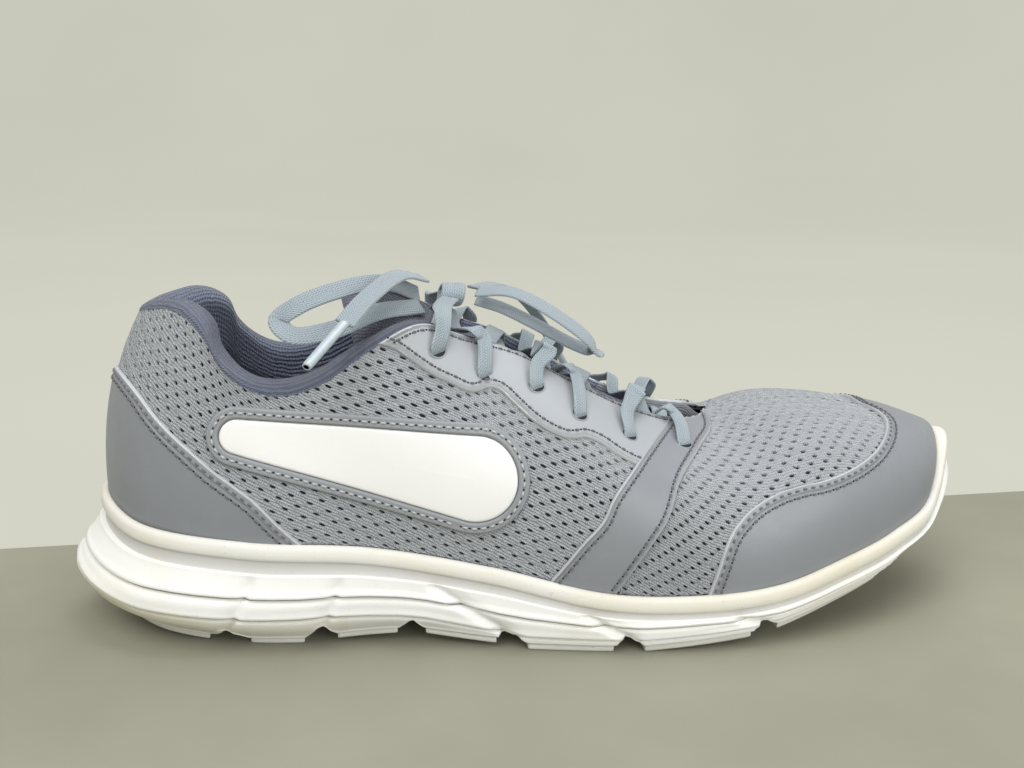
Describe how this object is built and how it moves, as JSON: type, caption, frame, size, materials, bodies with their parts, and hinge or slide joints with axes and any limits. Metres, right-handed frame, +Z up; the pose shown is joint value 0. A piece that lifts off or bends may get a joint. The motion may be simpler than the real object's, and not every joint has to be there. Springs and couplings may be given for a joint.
{
  "type": "running shoe",
  "caption": "Right-foot lace-up running shoe: knit mesh upper with stitched synthetic overlays, padded collar and tongue, tied flat lace, stepped foam midsole and rubber outsole pads.",
  "frame": {"origin": "centre of the sole's outline box, on the ground plane under the shoe", "axes": "+X from heel to toe, +Y from the outer to the inner side of the right foot, +Z up"},
  "size_m": [0.2997, 0.1049, 0.1112],
  "materials": {
    "midsole_foam": "satin moulded foam with a fine stipple",
    "outsole_rubber": "matte",
    "board": "matte felted board",
    "insole_foam": "matte open-cell foam",
    "insole_cloth": "matte knit",
    "mesh": "matte perforated knit",
    "lining": "matte brushed knit",
    "collar_foam": "matte foam",
    "stiffener": "matte",
    "overlay": "satin synthetic leather with piped, stitched edges",
    "eyestay": "satin synthetic leather with stitched edges",
    "border": "satin stitched edge",
    "side_panel": "satin",
    "tongue": "matte knit",
    "tongue_foam": "matte foam",
    "lace": "matte flat weave",
    "aglet": "clear gloss sleeve"
  },
  "bodies": {
    "shoe": {"midsole": "midsole_foam", "outsole_pad_1": "outsole_rubber", "outsole_pad_2": "outsole_rubber", "outsole_pad_3": "outsole_rubber", "outsole_pad_4": "outsole_rubber", "outsole_pad_5": "outsole_rubber", "outsole_pad_6": "outsole_rubber", "outsole_pad_7": "outsole_rubber", "outsole_pad_8": "outsole_rubber", "strobel_board": "board", "quarter_mesh": "mesh", "vamp_mesh": "mesh", "collar_lining": "lining", "vamp_lining": "lining", "collar_foam": "collar_foam", "heel_counter": "stiffener", "toe_puff": "stiffener", "heel_overlay": "overlay", "toe_cap": "overlay", "eyestay_lateral": "eyestay", "eyestay_medial": "eyestay", "forefoot_band_lateral": "overlay", "forefoot_band_medial": "overlay", "side_border_lateral": "border", "side_border_medial": "border", "side_panel_lateral": "side_panel", "side_panel_medial": "side_panel", "lace_bar": "lace", "lace_strap_6_5_lateral": "lace", "lace_strap_6_5_medial": "lace", "lace_strap_5_4_lateral": "lace", "lace_strap_5_4_medial": "lace", "lace_strap_4_3_lateral": "lace", "lace_strap_4_3_medial": "lace", "lace_strap_3_2_lateral": "lace", "lace_strap_3_2_medial": "lace", "lace_strap_2_1_lateral": "lace", "lace_strap_2_1_medial": "lace", "lace_riser_lateral": "lace", "lace_riser_medial": "lace", "lace_knot": "lace", "lace_loop_rear": "lace", "lace_loop_front": "lace", "lace_end_lateral": "lace", "lace_end_medial": "lace", "aglet_lateral": "aglet", "aglet_medial": "aglet"},
    "tongue": {"tongue_cover": "tongue", "tongue_foam": "tongue_foam", "tongue_lining": "tongue"},
    "insole": {"insole_foam": "insole_foam", "insole_topcloth": "insole_cloth"}
  },
  "joints": [
    {"name": "tongue_hinge", "type": "hinge", "parent": "shoe", "child": "tongue", "pos_m": [0.07, 0, 0.056], "axis": [0, 1, 0], "range_deg": [-3, 0], "stiffness_Nm_per_rad": 1.5},
    {"name": "insole_lift", "type": "hinge", "parent": "shoe", "child": "insole", "pos_m": [0.135, 0, 0.038], "axis": [0, 1, 0], "range_deg": [0, 3.4]}
  ]
}
